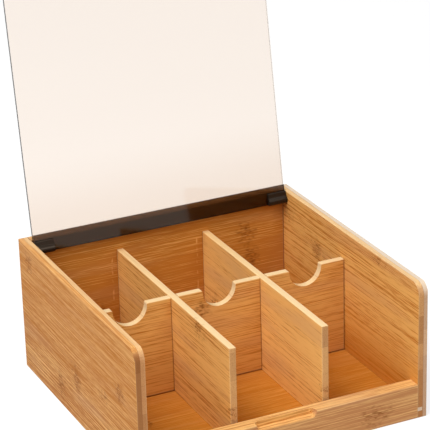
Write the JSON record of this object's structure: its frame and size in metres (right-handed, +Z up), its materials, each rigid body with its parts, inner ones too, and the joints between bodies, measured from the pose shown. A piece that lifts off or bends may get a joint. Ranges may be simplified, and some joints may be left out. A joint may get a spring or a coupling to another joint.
{
  "type": "tea bag organizer box",
  "caption": "Bamboo box with an egg-crate of dividers, finger scoops, a low front rail and a hinged clear lid folded down over the open front.",
  "frame": {"origin": "middle of the front rail's underside, on the surface that the box stands on", "axes": "+X to the right seen from the front, +Y to the back, where the hinge is, +Z up"},
  "size_m": [0.24, 0.2534, 0.3283],
  "materials": {
    "bamboo": "satin lacquer over laminated bamboo strips",
    "bamboo_ply": "satin lacquer over bamboo ply",
    "bamboo_pale": "satin lacquer over thin bamboo board",
    "clear_acrylic": "polished, faint rose tint",
    "smoked_plastic": "gloss, dark brown, slightly see-through",
    "black_plastic": "moulded, semi-gloss black"
  },
  "bodies": {
    "box": {"left_side": "bamboo", "right_side": "bamboo", "back_board": "bamboo", "front_rail": "bamboo", "base_board": "bamboo_ply", "groove_plugs": "bamboo_pale", "left_divider": "bamboo_pale", "right_divider": "bamboo_pale", "cross_divider": "bamboo_pale", "rail_dowels": "bamboo_pale", "back_dowels": "bamboo_pale"},
    "lid": {"lid_sheet": "clear_acrylic", "hinge_strip": "smoked_plastic", "left_hinge_block": "black_plastic", "right_hinge_block": "black_plastic"}
  },
  "joints": [
    {"name": "lid_hinge", "type": "hinge", "parent": "box", "child": "lid", "pos_m": [0, 0.2094, 0.1053], "axis": [1, 0, 0], "range_deg": [0, 99.4]}
  ]
}
